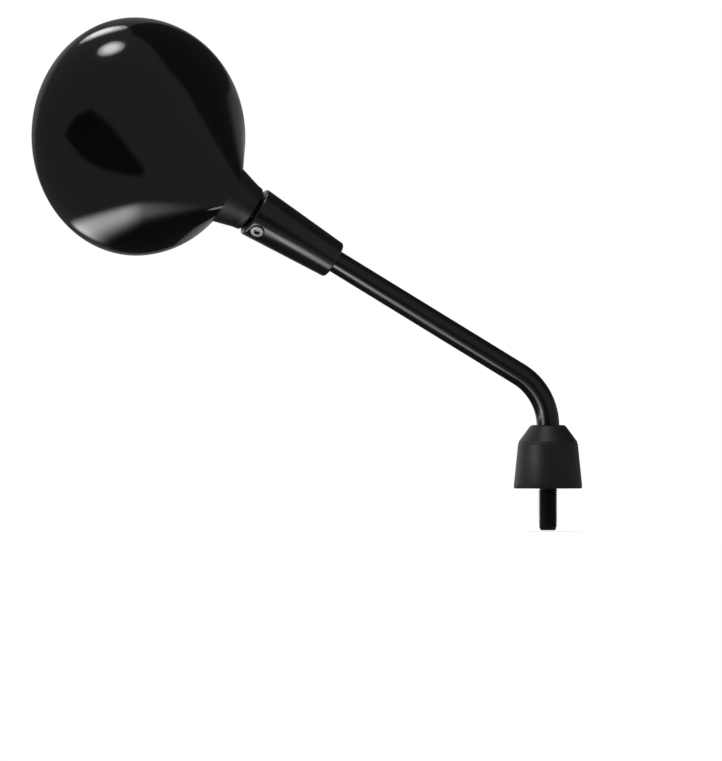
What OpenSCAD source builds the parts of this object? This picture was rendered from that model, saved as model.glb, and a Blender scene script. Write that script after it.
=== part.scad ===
// Right-hand mirror of a motor scooter, millimetres.
// The origin is the middle of the seat under the boot, on the axis of the stem's thread.
// +Z runs up the stem's foot, +Y is the way the glass faces, and -X is outboard.
// An arm frame has its Z along the sloping part of the stem, towards the head,
// its X upwards and its Y rearwards. A head frame has its Z forwards from the rim's plane.

/* [Head] */
// Outside diameter of the round head
head_d = 125; // [115:1:135]
// Depth of the shell from its rim to the crown of its back
shell_depth = 40; // [38:1:46]
// Wall of the shell
shell_wall = 2.5; // [2:0.25:3]
// Distance from the rim in to the middle of the neck
neck_inset = 13.8; // [12:0.2:16]
// Slope of the line from the neck up to the head's middle, in degrees
neck_slope = 36.7; // [30:0.5:44]
// Distance of the rim's plane behind the middle of the neck
rim_back = 24; // [23:0.5:27]
// Lip of shell left round the socket of the neck
neck_lip = 1.2; // [0.8:0.1:2]
// Floor of the socket of the neck
neck_floor = 4; // [3:0.5:6]
// Radius on which the screw posts stand
post_ring = 40; // [36:1:44]
// Diameter of a screw post
post_d = 8; // [7:0.5:10]
// Height of the ribs inside the shell
rib_h = 3.5; // [2:0.5:5]
// Thickness of the ribs inside the shell
rib_t = 1.6; // [1.2:0.2:2.4]
// Radius inside which the shell has no ribs
rib_free_r = 16; // [10:1:20]
// Diameter of the carrier's screws
post_screw_d = 3; // [2.5:0.5:4]
// Length of thread of the carrier's screws
post_screw_len = 9; // [6:0.5:12]

/* [Glass] */
// Thickness of the glass
glass_t = 2.5; // [2:0.25:3]
// Radius of the glass's convex face
glass_bow = 1200; // [900:50:2000]
// Depth of the glass's edge below the rim
glass_set = 1.5; // [1:0.25:2.5]
// Thickness of the seal beside the glass
seal_t = 2; // [1.5:0.25:2.5]
// Reach of the seal's lip over the glass
seal_lip = 1.2; // [0.8:0.2:2]
// Thickness of the foam tape
pad_t = 1; // [0.6:0.2:1.6]
// Thickness of the carrier plate at its edge
carrier_t = 2; // [1.6:0.2:3]
// Width of the ledge that the carrier sits on
ledge_w = 2.5; // [2:0.25:3.5]
// Mean radius of the ring rib on the carrier
carrier_rib_r = 23; // [18:1:24]
// Thickness of the ring rib on the carrier
carrier_rib_t = 2; // [1.2:0.2:2.4]
// Height of the ring rib on the carrier
carrier_rib_h = 3; // [2:0.5:4]

/* [Ball joint] */
// Diameter of the ball
ball_d = 16; // [15:0.5:17]
// Diameter of the ball's shank
shank_d = 8; // [7:0.5:8.5]
// Wall of the two ball seats
seat_t = 1.5; // [1.2:0.1:1.8]
// Wall of the bore round the pressure plate
spigot_wall = 2.8; // [2.4:0.2:3.2]
// Length of the housing on the stem's side of the ball's middle
housing_nose = 9.5; // [9:0.25:10.5]
// Length of the housing from the ball's middle to the shell's socket
housing_back = 8.5; // [7:0.5:10]
// Diameter of the housing at its small end
nose_d = 24.4; // [23:0.2:25]
// Diameter of the housing at the shell
collar_d = 32.8; // [32:0.2:34]
// Radius of the lip at the housing's small end
nose_round = 1.8; // [1:0.2:2.4]
// Swing that the housing's mouth leaves to the shank, in degrees
swing_max = 15; // [12:0.5:16]
// Thickness of the pressure plate over the ball
plate_t = 2; // [1.5:0.25:3]
// Thickness of one disc spring
disc_t = 0.8; // [0.6:0.1:1]
// Rise of one disc spring's cone
disc_rise = 0.7; // [0.5:0.1:0.9]
// Length of the spring plug
plug_len = 3.9; // [3:0.1:5]
// Diameter of the ring nut
nut_ring_d = 30; // [28.6:0.2:31]
// Thickness of the ring nut
nut_ring_t = 3.5; // [3:0.25:4]
// Thickness of the washer under the ring nut
neck_washer_t = 0.6; // [0.5:0.1:1]

/* [Sleeve] */
// Length of the sleeve
sleeve_len = 50.3; // [48:0.5:56]
// Diameter of the sleeve at the head
sleeve_big_d = 27.1; // [26.4:0.1:28.4]
// Diameter of the sleeve at its lower end
sleeve_small_d = 20; // [17:0.5:22]
// Gap from the sleeve's end to the ball housing, along the arm
sleeve_gap = 1.2; // [0.8:0.1:2]
// Rounding of the sleeve's lower edge
sleeve_round = 1.5; // [0.5:0.25:2.5]
// Rounding of the sleeve's edge at the head
sleeve_lip = 1.2; // [0.8:0.1:1.4]
// Length of stem inside the sleeve
rod_in = 22; // [16:1:24]
// Gap inside the sleeve from the stem's end to the ball's shank
shank_gap = 3; // [1:0.5:6]
// Distance of the screw from the sleeve's end
screw_in = 5.7; // [5:0.1:8]
// Angle of the screw round the sleeve, down from the front, in degrees
screw_turn = 44; // [30:1:60]
// Diameter of the screw's head
screw_head_d = 7.2; // [6:0.2:7.6]
// Height of the screw's head
screw_head_t = 2; // [1.4:0.1:2.6]
// Diameter of the screw's thread
screw_d = 4; // [3:0.5:4]
// Depth of the screw's seat in the sleeve
screw_sink = 1.3; // [1:0.1:1.6]
// Width of the key that turns the screw
screw_key = 3; // [2:0.5:4]

/* [Stem] */
// Diameter of the stem
stem_d = 12; // [10:0.5:13]
// Height at which the axes of the stem's two straight parts meet
corner_z = 50.8; // [48:0.2:60]
// Distance along the slope from there to the sleeve
arm_len = 134; // [110:1:160]
// Slope of the arm above the level, in degrees
arm_rise = 31; // [25:0.5:40]
// Turn of the arm rearwards from straight outboard, in degrees
arm_sweep = 18.6; // [14:0.2:20]
// Radius of the stem's bend, on its centreline
bend_r = 32; // [24:1:32]

/* [Foot] */
// Diameter of the thread
thread_d = 10; // [8:1:10]
// Length of thread below the seat
thread_len = 22; // [15:1:35]
// Pitch diameter of the thread, at which it and the nut are drawn where they engage
thread_pitch_d = 9.2; // [7.2:0.1:9.4]
// Distance below the seat at which the thread is first full
thread_relief = 0.6; // [0.4:0.1:1.5]
// Height of the shoulder where the thread starts
shoulder_z = 10.6; // [10.2:0.2:12]
// Width of the lock nut across its flats
nut_flats = 16; // [15:0.5:17]
// Height of the lock nut
nut_h = 8; // [6:0.5:8]
// Diameter of the washer under it
washer_d = 22; // [20:0.5:23]
// Thickness of that washer
washer_t = 1.6; // [1:0.1:2]
// Diameter of the boot at its foot
boot_d = 36; // [34:0.5:40]
// Diameter of the boot at its shoulder
boot_shoulder_d = 30; // [28:0.5:32]
// Height of the boot's shoulder
boot_shoulder_z = 24.7; // [22:0.5:26]
// Diameter of the boot at its top
boot_top_d = 18.4; // [17:0.2:20]
// Height of the boot
boot_h = 33.4; // [31:0.2:34]
// Wall of the boot
boot_wall = 3; // [2:0.25:3.5]
// Length of the boot's collar on the stem
boot_grip = 5; // [3:0.5:6]

/* [Hidden] */
$fn = 96;
hull_fn = 72;           // facets of a circle in the shell's hulls
dome_steps = 16;        // rings of the shell's dome
bow_steps = 8;          // cones that make up a bowed face
over = 1;               // how far a cut runs past the face that it opens
run = 0.05;             // radial play of a running fit
seat_play = 0.02;       // radial play of a fixed fit
soft_gap = 0.3;         // play round rubber that another body turns in
screw_play = 0.2;       // radial play round a screw in its hole, or its head
head_play = 0.3;        // radial play round the sleeve screw's head
socket_play = 0.4;      // seam between the shell and the ball housing
mouth_play = 0.3;       // play round the shank at full swing
dish_gap = 0.6;         // gap that the sleeve's dished end leaves to the housing
notch_gap = 0.6;        // gap that the plates behind the glass leave to the boss
disc_play = 0.5;        // radial play of the disc springs
thread_chamfer = 1;     // chamfer of a thread at its end
stem_chamfer = 0.6;     // chamfer of the stem at its shoulder
bend_thin = 0.03;       // drawing the bend makes it this much thinner, on its radius
bend_lap = 0.5;         // length of straight stem that runs into the bend

neck_band = 1.5;        // width of the shell's straight band round the neck
rib_set = 2;            // distance of the ribs below the carrier's ledge
boss_set = 2;           // distance of the boss behind the glass
post_head_d = 6;        // head of a carrier screw
post_head_t = 1.4;
post_key = 1.8;         // width of its key, and depth
post_key_depth = 1;
post_sink = 0.1;        // depth of a carrier screw's head below the face that it's sunk in
pad_in = 1;             // distance of the foam's edge inside the seal's lip
edge_gap = 0.1;         // gap from the carrier's edge to the seal
lip_t = 0.5;            // thickness of the seal's lip, at its edge and at its root
lip_root_t = 0.9;
lip_slope = 0.8;        // width over which the lip thickens
collar_band = 1;        // width of the housing's straight band at the shell
mouth_in = 3;           // distance from the ball's middle to the end of the mouth's cone
nut_slot_w = 3;         // slots of the ring nut: width and depth
nut_slot_in = 1.3;
neck_washer_out = 0.2;  // how far the washer stands out from under the ring nut
plug_key = 8;           // hexagon of the spring plug, and its depth
plug_key_depth = 2.5;
dimple = 0.8;           // depth of the screw's dimple in the shank
screw_key_depth = 1.5;
washer_play = 0.3;      // radial play of the foot's washer on the thread
boot_foot_t = 1.6;      // thickness of the boot's foot, round the washer
boot_band = 2;          // width of the boot's straight band at its foot
crease_w = 1;           // step of the boot's crease under its shoulder
crease_top = 0.6;
crease_h = 2.4;

head_r = head_d / 2;
bay_r = head_r - shell_wall;
glass_r = bay_r - seal_t;
ledge_r = bay_r - ledge_w;
carrier_r = bay_r - 2 * run;
pad_r = glass_r - seal_lip - pad_in;

ball_r = ball_d / 2;
seat_in = ball_r + run;
seat_out = seat_in + seat_t;
cup_r = seat_out + run;
spigot_r = cup_r + spigot_wall;
plate_top = cup_r + plate_t;
discs_h = 2 * (disc_t + disc_rise);
plug_at = plate_top + discs_h;
spigot_end = plug_at + plug_len;
shank_r = shank_d / 2;
mouth_k = tan(swing_max);
mouth_r = shank_r / cos(swing_max) + mouth_play;
seat_low = -0.745 * ball_r;   // where the lower seat starts, below the ball's middle
seat_mid = 0.24 * ball_r;     // half the gap between the two seats
plate_low = 0.62 * ball_r;    // where the pressure plate starts, over the ball's middle

socket_r = collar_d / 2 + socket_play;
neck_r = socket_r + neck_lip;
boss_r = socket_r + shell_wall;
floor_u = housing_back + neck_floor;
dish_r = norm([nose_d / 2, housing_nose]) + dish_gap;

sleeve_at = arm_len;
sleeve_end = sleeve_at + sleeve_len;
ball_at = sleeve_end + sleeve_gap + housing_nose;
neck_at = ball_at + housing_back;
nut_at = ball_at + floor_u + neck_washer_t;
spigot_at = ball_at + spigot_end;
screw_at = sleeve_end - screw_in;
shank_at = sleeve_at + rod_in + shank_gap;
shank_len = ball_at - shank_at;

// Directions of the arm, and the places worked out along it
arm_tilt = 90 - arm_rise;
arm_dir = [-cos(arm_rise) * cos(arm_sweep), cos(arm_rise) * sin(arm_sweep), sin(arm_rise)];
neck_pos = [0, 0, corner_z] + neck_at * arm_dir;
neck_to_head = head_r - neck_inset;
head_pos = neck_pos + [-neck_to_head * cos(neck_slope), rim_back, neck_to_head * sin(neck_slope)];
bend_leg = bend_r * tan(arm_tilt / 2);
post_turns = [90, 180, 270];   // the fourth place round the ring is the neck's

// Depths in the head frame, from the middle of each face
function bow(r) = glass_bow - sqrt(glass_bow * glass_bow - r * r);
glass_z = glass_set - bow(glass_r);
pad_z = glass_z + glass_t;
carrier_z = pad_z + pad_t;
ledge_z = carrier_z + bow(carrier_r) + carrier_t;
post_head_z = carrier_z + bow(post_ring + post_head_d / 2) + post_sink + post_head_t;

// The plates behind the glass share its cones, so that their faces meet
function bow_ring(i) = [glass_r * i / bow_steps, bow(glass_r * i / bow_steps)];
function on_ring(p, q, r) = p[1] + (q[1] - p[1]) * (r - p[0]) / (q[0] - p[0]);
function bowed(z, r) = let (last = ceil(r / glass_r * bow_steps) - 1) concat(
    [for (i = [0:last]) bow_ring(i) + [0, z]],
    [[r, z + on_ring(bow_ring(last), bow_ring(last + 1), r)]]);
function backwards(p) = [for (i = [len(p) - 1:-1:0]) p[i]];
function arc(c, r, from, to, n) =
    [for (i = [0:n]) c + r * [cos(from + (to - from) * i / n), sin(from + (to - from) * i / n)]];

module in_arm(along) {
    rotate([0, 0, -arm_sweep]) translate([0, 0, corner_z]) rotate([0, -arm_tilt, 0])
        translate([0, 0, along]) children();
}

module in_head() {
    translate(head_pos) rotate([90, 0, 0]) children();
}

// A quarter ellipse turned about the head's axis
module dome(r, depth) {
    rotate_extrude($fn = hull_fn)
        polygon(concat([[0, 0]], [for (i = [0:dome_steps])
            [r * cos(90 * i / dome_steps), depth * sin(90 * i / dome_steps)]]));
}

// The dome drawn out to the neck: the outside of the shell, or its hollow
module drawn_dome(r, depth, neck) {
    hull() {
        in_head() dome(r, depth);
        in_arm(neck_at - neck_band) cylinder(r = neck, h = neck_band + neck_r - neck, $fn = hull_fn);
    }
}

module at_posts() {
    for (turn = post_turns) rotate([0, 0, turn - neck_slope]) translate([post_ring, 0, 0]) children();
}

module shell_ribs() {
    difference() {
        for (turn = [45:45:315]) rotate([0, 0, turn - neck_slope])
            translate([rib_free_r, -rib_t / 2, ledge_z + rib_set]) cube([head_r, rib_t, shell_depth]);
        dome(bay_r - rib_h, shell_depth - shell_wall - rib_h);
    }
}

// What stands inside the shell: screw posts, ribs and the boss round the neck's socket
module shell_inside() {
    in_head() at_posts() translate([0, 0, ledge_z]) cylinder(d = post_d, h = shell_depth);
    in_head() shell_ribs();
    intersection() {
        in_arm(neck_at - shell_depth) cylinder(r = boss_r, h = shell_depth + neck_floor);
        in_head() translate([0, 0, pad_z + boss_set]) cylinder(r = head_r, h = head_d);
    }
}

module shell_hollow() {
    intersection() {
        drawn_dome(bay_r, shell_depth - shell_wall, neck_r - shell_wall);
        in_head() cylinder(r = ledge_r, h = shell_depth);
    }
    in_head() translate([0, 0, -over]) cylinder(r = bay_r, h = ledge_z + over);
}

// Room for the ring nut and its washer, on the boss and all the way round
module nut_room() {
    in_arm(neck_at + neck_floor)
        cylinder(d = nut_ring_d + 2 * neck_washer_out + over, h = neck_washer_t + nut_ring_t + over);
}

module rear_shell() {
    color([0.05, 0.05, 0.06]) difference() {
        drawn_dome(head_r, shell_depth, neck_r);
        difference() {
            shell_hollow();
            shell_inside();
        }
        nut_room();
        in_arm(neck_at - shell_depth) cylinder(r = socket_r, h = shell_depth);
        in_arm(neck_at - over) cylinder(r = spigot_r + seat_play, h = spigot_at - neck_at + 2 * over);
        in_head() at_posts() translate([0, 0, ledge_z - over])
            cylinder(d = post_screw_d + 2 * seat_play, h = post_screw_len + over);
    }
}

module ball_housing() {
    nose_r = nose_d / 2;
    color([0.16, 0.16, 0.17]) in_arm(ball_at) difference() {
        rotate_extrude() polygon(concat(
            [[0, -housing_nose]],
            arc([nose_r - nose_round, nose_round - housing_nose], nose_round, -90, 10, 5),
            [[collar_d / 2, housing_back - collar_band], [collar_d / 2, housing_back],
             [spigot_r, housing_back], [spigot_r, spigot_end], [0, spigot_end]]));
        sphere(r = cup_r);
        cylinder(r = cup_r, h = spigot_end + over);
        translate([0, 0, -housing_nose - over])
            cylinder(r1 = mouth_r + (housing_nose + over) * mouth_k, r2 = mouth_r + mouth_in * mouth_k,
                h = housing_nose + over - mouth_in);
    }
}

module neck_washer() {
    color("silver") in_arm(ball_at + floor_u) difference() {
        cylinder(d = nut_ring_d + 2 * neck_washer_out, h = neck_washer_t);
        translate([0, 0, -over]) cylinder(r = spigot_r + seat_play, h = neck_washer_t + 2 * over);
    }
}

module ring_nut() {
    color([0.55, 0.55, 0.57]) in_arm(nut_at) difference() {
        cylinder(d = nut_ring_d, h = nut_ring_t);
        translate([0, 0, -over]) cylinder(r = spigot_r + seat_play, h = nut_ring_t + 2 * over);
        for (turn = [0:90:270]) rotate([0, 0, turn])
            translate([nut_ring_d / 2 - nut_slot_in, -nut_slot_w / 2, -over])
                cube([nut_slot_in + over, nut_slot_w, nut_ring_t + 2 * over]);
    }
}

module pressure_plate() {
    color([0.75, 0.76, 0.78]) in_arm(ball_at) difference() {
        translate([0, 0, plate_low]) cylinder(r = cup_r - run, h = plate_top - plate_low);
        sphere(r = cup_r);
        cylinder(r = ball_r / 4, h = plate_top + over);
    }
}

module disc_springs() {
    outer = cup_r - disc_play;
    inner = ball_r / 2;
    disc = [[outer, 0], [outer, disc_t], [inner, disc_t + disc_rise], [inner, disc_rise]];
    color([0.5, 0.51, 0.54]) in_arm(ball_at + plate_top) {
        rotate_extrude() polygon(disc);
        translate([0, 0, discs_h]) mirror([0, 0, 1]) rotate_extrude() polygon(disc);
    }
}

module spring_plug() {
    color([0.6, 0.6, 0.62]) in_arm(ball_at + plug_at) difference() {
        cylinder(r = cup_r - seat_play, h = plug_len);
        translate([0, 0, plug_len - plug_key_depth])
            cylinder(d = plug_key / cos(30), h = plug_key_depth + over, $fn = 6);
    }
}

module upper_ball_seat() {
    color([0.88, 0.87, 0.82]) in_arm(ball_at) difference() {
        intersection() {
            sphere(r = seat_out);
            translate([0, 0, seat_mid]) cylinder(r = cup_r, h = cup_r);
        }
        sphere(r = seat_in);
        cylinder(r = ball_r / 5, h = cup_r + over);
    }
}

module lower_ball_seat() {
    color([0.88, 0.87, 0.82]) in_arm(ball_at) difference() {
        intersection() {
            sphere(r = seat_out);
            translate([0, 0, seat_low]) cylinder(r = cup_r, h = -seat_mid - seat_low);
        }
        sphere(r = seat_in);
    }
}

module ball_stud() {
    color([0.62, 0.63, 0.65]) in_arm(ball_at) difference() {
        union() {
            sphere(r = ball_r);
            translate([0, 0, thread_chamfer - shank_len])
                cylinder(r = shank_r, h = shank_len - thread_chamfer);
            translate([0, 0, -shank_len])
                cylinder(r1 = shank_r - thread_chamfer, r2 = shank_r, h = thread_chamfer);
        }
        translate([0, 0, screw_at - ball_at]) at_screw() translate([0, 0, shank_r - dimple])
            cylinder(r = screw_d / 2 + seat_play, h = shank_r);
    }
}

// Turns Z to the screw's own axis, outwards from the arm
module at_screw() {
    rotate([0, 0, -90 - screw_turn]) rotate([0, 90, 0]) children();
}

function sleeve_r(along) = (sleeve_small_d + (sleeve_big_d - sleeve_small_d) * along / sleeve_len) / 2;
screw_seat = sleeve_r(sleeve_len - screw_in) - screw_sink;

module stem_sleeve() {
    small_r = sleeve_small_d / 2;
    big_r = sleeve_big_d / 2;
    color([0.13, 0.125, 0.12]) in_arm(sleeve_at) difference() {
        rotate_extrude() polygon(concat(
            [[0, 0]],
            arc([small_r - sleeve_round, sleeve_round], sleeve_round, -90, -4, 4),
            arc([big_r - sleeve_lip, sleeve_len - sleeve_lip], sleeve_lip, -4, 90, 4),
            [[0, sleeve_len]]));
        translate([0, 0, -over]) cylinder(d = stem_d + 2 * seat_play, h = rod_in + over);
        translate([0, 0, ball_at - sleeve_at]) sphere(r = dish_r);
        translate([0, 0, shank_at - sleeve_at]) cylinder(r = shank_r + seat_play, h = shank_len);
        translate([0, 0, sleeve_len - screw_in]) at_screw() {
            cylinder(d = screw_d + 2 * seat_play, h = sleeve_big_d);
            translate([0, 0, screw_seat]) cylinder(r = screw_head_d / 2 + head_play, h = sleeve_big_d);
        }
    }
}

module sleeve_screw() {
    screw_top = screw_seat + screw_head_t;
    color([0.8, 0.81, 0.83]) in_arm(screw_at) at_screw() difference() {
        union() {
            translate([0, 0, shank_r - dimple])
                cylinder(d = screw_d, h = screw_seat - shank_r + dimple);
            translate([0, 0, screw_seat]) cylinder(d = screw_head_d, h = screw_head_t);
        }
        translate([0, 0, screw_top - screw_key_depth])
            cylinder(d = screw_key / cos(30), h = screw_key_depth + over, $fn = 6);
    }
}

// The stem is turned from its thread to the foot of the bend, all in the plane of the bend
module stem_rod() {
    stem_r = stem_d / 2;
    thread_r = thread_d / 2;
    engaged_r = thread_pitch_d / 2;
    bend_z = corner_z - bend_leg;
    color([0.09, 0.09, 0.095]) {
        rotate([0, 0, -arm_sweep]) {
            rotate_extrude() polygon([
                [0, -thread_len], [thread_r - thread_chamfer, -thread_len],
                [thread_r, thread_chamfer - thread_len], [thread_r, -thread_relief],
                [engaged_r, -thread_relief], [engaged_r, shoulder_z], [stem_r - stem_chamfer, shoulder_z],
                [stem_r, shoulder_z + stem_chamfer], [stem_r, bend_z + bend_lap], [0, bend_z + bend_lap]]);
            translate([-bend_r, 0, bend_z]) rotate([90, 0, 0])
                rotate_extrude(angle = arm_tilt) translate([bend_r, 0]) circle(r = stem_r - bend_thin);
        }
        in_arm(bend_leg - bend_lap) cylinder(r = stem_r, h = sleeve_at + rod_in - bend_leg + bend_lap);
    }
}

module rubber_boot() {
    top_r = boot_top_d / 2;
    shoulder_r = boot_shoulder_d / 2;
    foot_r = boot_d / 2;
    stem_hole = stem_d / 2 + soft_gap;
    drop = boot_h - boot_shoulder_z;
    // The shoulder is a quarter ellipse from the tapered wall to the top
    shoulder = [for (i = [0:6])
        [top_r + (shoulder_r - top_r) * cos(15 * i), boot_shoulder_z + drop * sin(15 * i)]];
    color([0.17, 0.17, 0.175]) rotate_extrude() polygon(concat(
        [[washer_d / 2 + soft_gap, 0], [foot_r, 0], [foot_r, boot_band]],
        [[shoulder_r + crease_w, boot_shoulder_z - crease_top - crease_h],
         [shoulder_r, boot_shoulder_z - crease_top]],
        shoulder,
        [[stem_hole, boot_h], [stem_hole, boot_h - boot_grip]],
        [[shoulder_r - boot_wall, boot_shoulder_z - boot_band],
         [foot_r - boot_wall, boot_foot_t + crease_w], [foot_r - boot_wall, boot_foot_t],
         [washer_d / 2 + soft_gap, boot_foot_t]]));
}

module lock_nut() {
    face_d = 0.95 * nut_flats;
    color([0.7, 0.7, 0.68]) translate([0, 0, washer_t]) difference() {
        intersection() {
            cylinder(d = nut_flats / cos(30), h = nut_h, $fn = 6);
            cylinder(d1 = face_d + 2 * nut_h / tan(30), d2 = face_d, h = nut_h);
        }
        translate([0, 0, -over]) cylinder(r = thread_pitch_d / 2 + run, h = nut_h + 2 * over);
    }
}

module seat_washer() {
    color([0.75, 0.75, 0.73]) difference() {
        cylinder(d = washer_d, h = washer_t);
        translate([0, 0, -over]) cylinder(r = thread_d / 2 + washer_play, h = washer_t + 2 * over);
    }
}

// What the neck's boss takes out of the plates behind the glass
module neck_notch() {
    in_arm(neck_at - shell_depth)
        cylinder(r = boss_r + notch_gap, h = shell_depth + spigot_at - neck_at + notch_gap);
}

module glass_carrier() {
    edge_z = glass_set + glass_t + edge_gap;
    color([0.2, 0.2, 0.21]) difference() {
        in_head() difference() {
            union() {
                rotate_extrude() polygon(concat(bowed(carrier_z, pad_r),
                    [[carrier_r, edge_z], [carrier_r, ledge_z], [0, ledge_z]]));
                translate([0, 0, ledge_z - carrier_t / 2]) difference() {
                    cylinder(r = carrier_rib_r + carrier_rib_t / 2, h = carrier_rib_h + carrier_t / 2);
                    translate([0, 0, -over])
                        cylinder(r = carrier_rib_r - carrier_rib_t / 2, h = carrier_rib_h + ledge_z);
                }
            }
            at_posts() {
                cylinder(r = post_screw_d / 2 + screw_play, h = 2 * ledge_z);
                cylinder(r = post_head_d / 2 + screw_play, h = post_head_z);
            }
        }
        neck_notch();
    }
}

module carrier_screws() {
    color("silver") in_head() at_posts() translate([0, 0, post_head_z]) difference() {
        union() {
            translate([0, 0, -post_head_t]) cylinder(d = post_head_d, h = post_head_t);
            translate([0, 0, -post_head_t / 2])
                cylinder(d = post_screw_d, h = post_head_t / 2 + post_screw_len);
        }
        translate([0, 0, -post_head_t - over])
            cylinder(d = post_key, h = post_key_depth + over, $fn = 6);
    }
}

module glass_pad() {
    color([0.3, 0.3, 0.31]) difference() {
        in_head() rotate_extrude()
            polygon(concat(bowed(pad_z, pad_r), backwards(bowed(carrier_z, pad_r))));
        neck_notch();
    }
}

module mirror_glass() {
    color([0.75, 0.8, 0.84]) in_head() rotate_extrude()
        polygon(concat(bowed(glass_z, glass_r), backwards(bowed(pad_z, glass_r))));
}

module glass_seal() {
    in_r = glass_r - seal_lip;
    out_r = bay_r - run;
    lip_z = glass_z + bow(in_r) - seat_play;
    back_z = glass_set + glass_t;
    color([0.1, 0.1, 0.1]) in_head() rotate_extrude() polygon([
        [in_r, lip_z], [in_r, lip_z - lip_t], [in_r + lip_slope, lip_z - lip_root_t],
        [out_r, lip_z - lip_root_t], [out_r, back_z], [glass_r + seat_play, back_z],
        [glass_r + seat_play, glass_z + bow(glass_r) - seat_play]]);
}

rear_shell();
ball_housing();
neck_washer();
ring_nut();
pressure_plate();
disc_springs();
spring_plug();
glass_carrier();
carrier_screws();
glass_pad();
mirror_glass();
glass_seal();
upper_ball_seat();
lower_ball_seat();
ball_stud();
stem_sleeve();
sleeve_screw();
stem_rod();
rubber_boot();
lock_nut();
seat_washer();
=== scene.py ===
# %% [markdown]
# # The right-hand mirror of a motor scooter
# A round mirror stands on a bent steel stem. A ball joint joins the two, and the stem turns in its
# threaded foot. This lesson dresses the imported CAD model: it loads the model first, so that every
# new piece is made where the CAD has it, and then gives each visible piece its edges and finish.

# %% Load the frame
import math
import bmesh
import bpy
from mathutils import Matrix, Vector


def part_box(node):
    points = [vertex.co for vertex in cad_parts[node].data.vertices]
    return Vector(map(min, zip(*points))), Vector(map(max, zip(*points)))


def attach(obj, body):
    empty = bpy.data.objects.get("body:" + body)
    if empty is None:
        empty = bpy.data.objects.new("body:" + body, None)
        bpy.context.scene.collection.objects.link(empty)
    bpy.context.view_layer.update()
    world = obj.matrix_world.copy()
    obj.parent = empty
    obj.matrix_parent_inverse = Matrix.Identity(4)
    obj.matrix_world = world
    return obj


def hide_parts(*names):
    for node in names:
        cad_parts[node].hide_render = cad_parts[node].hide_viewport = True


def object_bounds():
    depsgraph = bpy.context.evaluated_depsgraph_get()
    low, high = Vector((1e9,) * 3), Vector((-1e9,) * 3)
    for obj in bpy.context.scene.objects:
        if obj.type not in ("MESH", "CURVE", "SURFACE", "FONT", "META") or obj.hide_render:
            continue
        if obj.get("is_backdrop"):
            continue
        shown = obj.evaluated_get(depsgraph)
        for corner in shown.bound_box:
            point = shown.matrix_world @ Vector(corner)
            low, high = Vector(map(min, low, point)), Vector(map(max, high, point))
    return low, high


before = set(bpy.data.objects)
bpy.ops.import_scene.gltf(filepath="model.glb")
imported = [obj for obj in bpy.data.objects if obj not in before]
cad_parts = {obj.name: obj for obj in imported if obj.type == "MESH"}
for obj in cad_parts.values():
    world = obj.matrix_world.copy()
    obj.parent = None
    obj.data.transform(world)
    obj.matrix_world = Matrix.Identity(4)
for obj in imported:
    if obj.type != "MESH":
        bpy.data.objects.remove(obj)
cad_low, cad_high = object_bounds()
print("CAD box in mm:", [round(1000 * (b - a), 1) for a, b in zip(cad_low, cad_high)])

# %% [markdown]
# ## Sizes and places
# The sizes are those of the drawing, in millimetres, and Blender works in metres. Two frames say
# where things are: the arm's frame has its Z along the sloping part of the stem, and the head's
# frame has its Z forwards from the plane of the rim. A piece is shaped about its own axis, then
# moved with one of these matrices, which is simpler than shaping it on a slope.

# %% Sizes
MM = 0.001
STEM_R, BEND_R, CORNER_Z = 6.0, 32.0, 50.8
ARM_TILT, ARM_SWEEP = math.radians(59.0), math.radians(18.6)
SLEEVE_AT, SLEEVE_LEN, ROD_IN = 134.0, 50.3, 22.0
SCREW_IN, SCREW_TURN = 5.7, 44
BALL_OUT, HOUSING_BACK = 10.7, 8.5  # from the sleeve's end to the ball, and on to the shell
NOSE, NOSE_R, SHANK_R = 9.5, 12.2, 4.0  # the housing's small end, and the shank of the ball
SWING = math.radians(15)
HEAD_R, SHELL_DEPTH, WALL = 62.5, 40.0, 2.5
NECK_R, NECK_INSET, NECK_SLOPE, RIM_BACK = 18.0, 13.8, math.radians(36.7), 24.0
LEDGE_Z = 7.093   # where the shell carries the plate behind the glass
SPIGOT_R = 12.4   # the housing's part inside the shell
PLAY = 0.02       # between pieces that are pressed or glued together
BALL_Z = SLEEVE_LEN + BALL_OUT
BALL_AT = SLEEVE_AT + SLEEVE_LEN + BALL_OUT
NECK_AT = BALL_AT + HOUSING_BACK
print("from the stem's corner to the ball:", BALL_AT, "mm")

# %% Places
UP = Vector((0, 0, 1))
ARM = (Matrix.Rotation(-ARM_SWEEP, 4, "Z") @ Matrix.Translation((0, 0, CORNER_Z * MM))
       @ Matrix.Rotation(-ARM_TILT, 4, "Y"))


def along_arm(distance):
    """The arm's frame, moved this far along it in millimetres."""
    return ARM @ Matrix.Translation((0, 0, distance * MM))


neck = ARM @ Vector((0, 0, NECK_AT * MM))
reach = HEAD_R - NECK_INSET
HEAD = Matrix.Translation(neck + MM * Vector((
    -reach * math.cos(NECK_SLOPE), RIM_BACK, reach * math.sin(NECK_SLOPE)
))) @ Matrix.Rotation(math.radians(90), 4, "X")
SCREW = (along_arm(SLEEVE_AT + SLEEVE_LEN - SCREW_IN)
         @ Matrix.Rotation(math.radians(-90 - SCREW_TURN), 4, "Z")
         @ Matrix.Rotation(math.radians(90), 4, "Y"))
low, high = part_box("mirror_glass")
print("rim centre:", [round(1000 * c, 2) for c in HEAD.translation],
      "CAD glass centre:", [round(500 * (a + b), 2) for a, b in zip(low, high)])

# %% [markdown]
# ## Colours, nodes and finishes
# A colour is written as sRGB hex, as a paint chart gives it, and one function turns it to the
# linear values that the shader adds up. A finish starts as a shader with the values of its real
# material. Four short functions then add what makes it real: a noise of a given size, a roughness
# that drifts, a grain that catches the light, and two tones instead of one flat colour.

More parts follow.
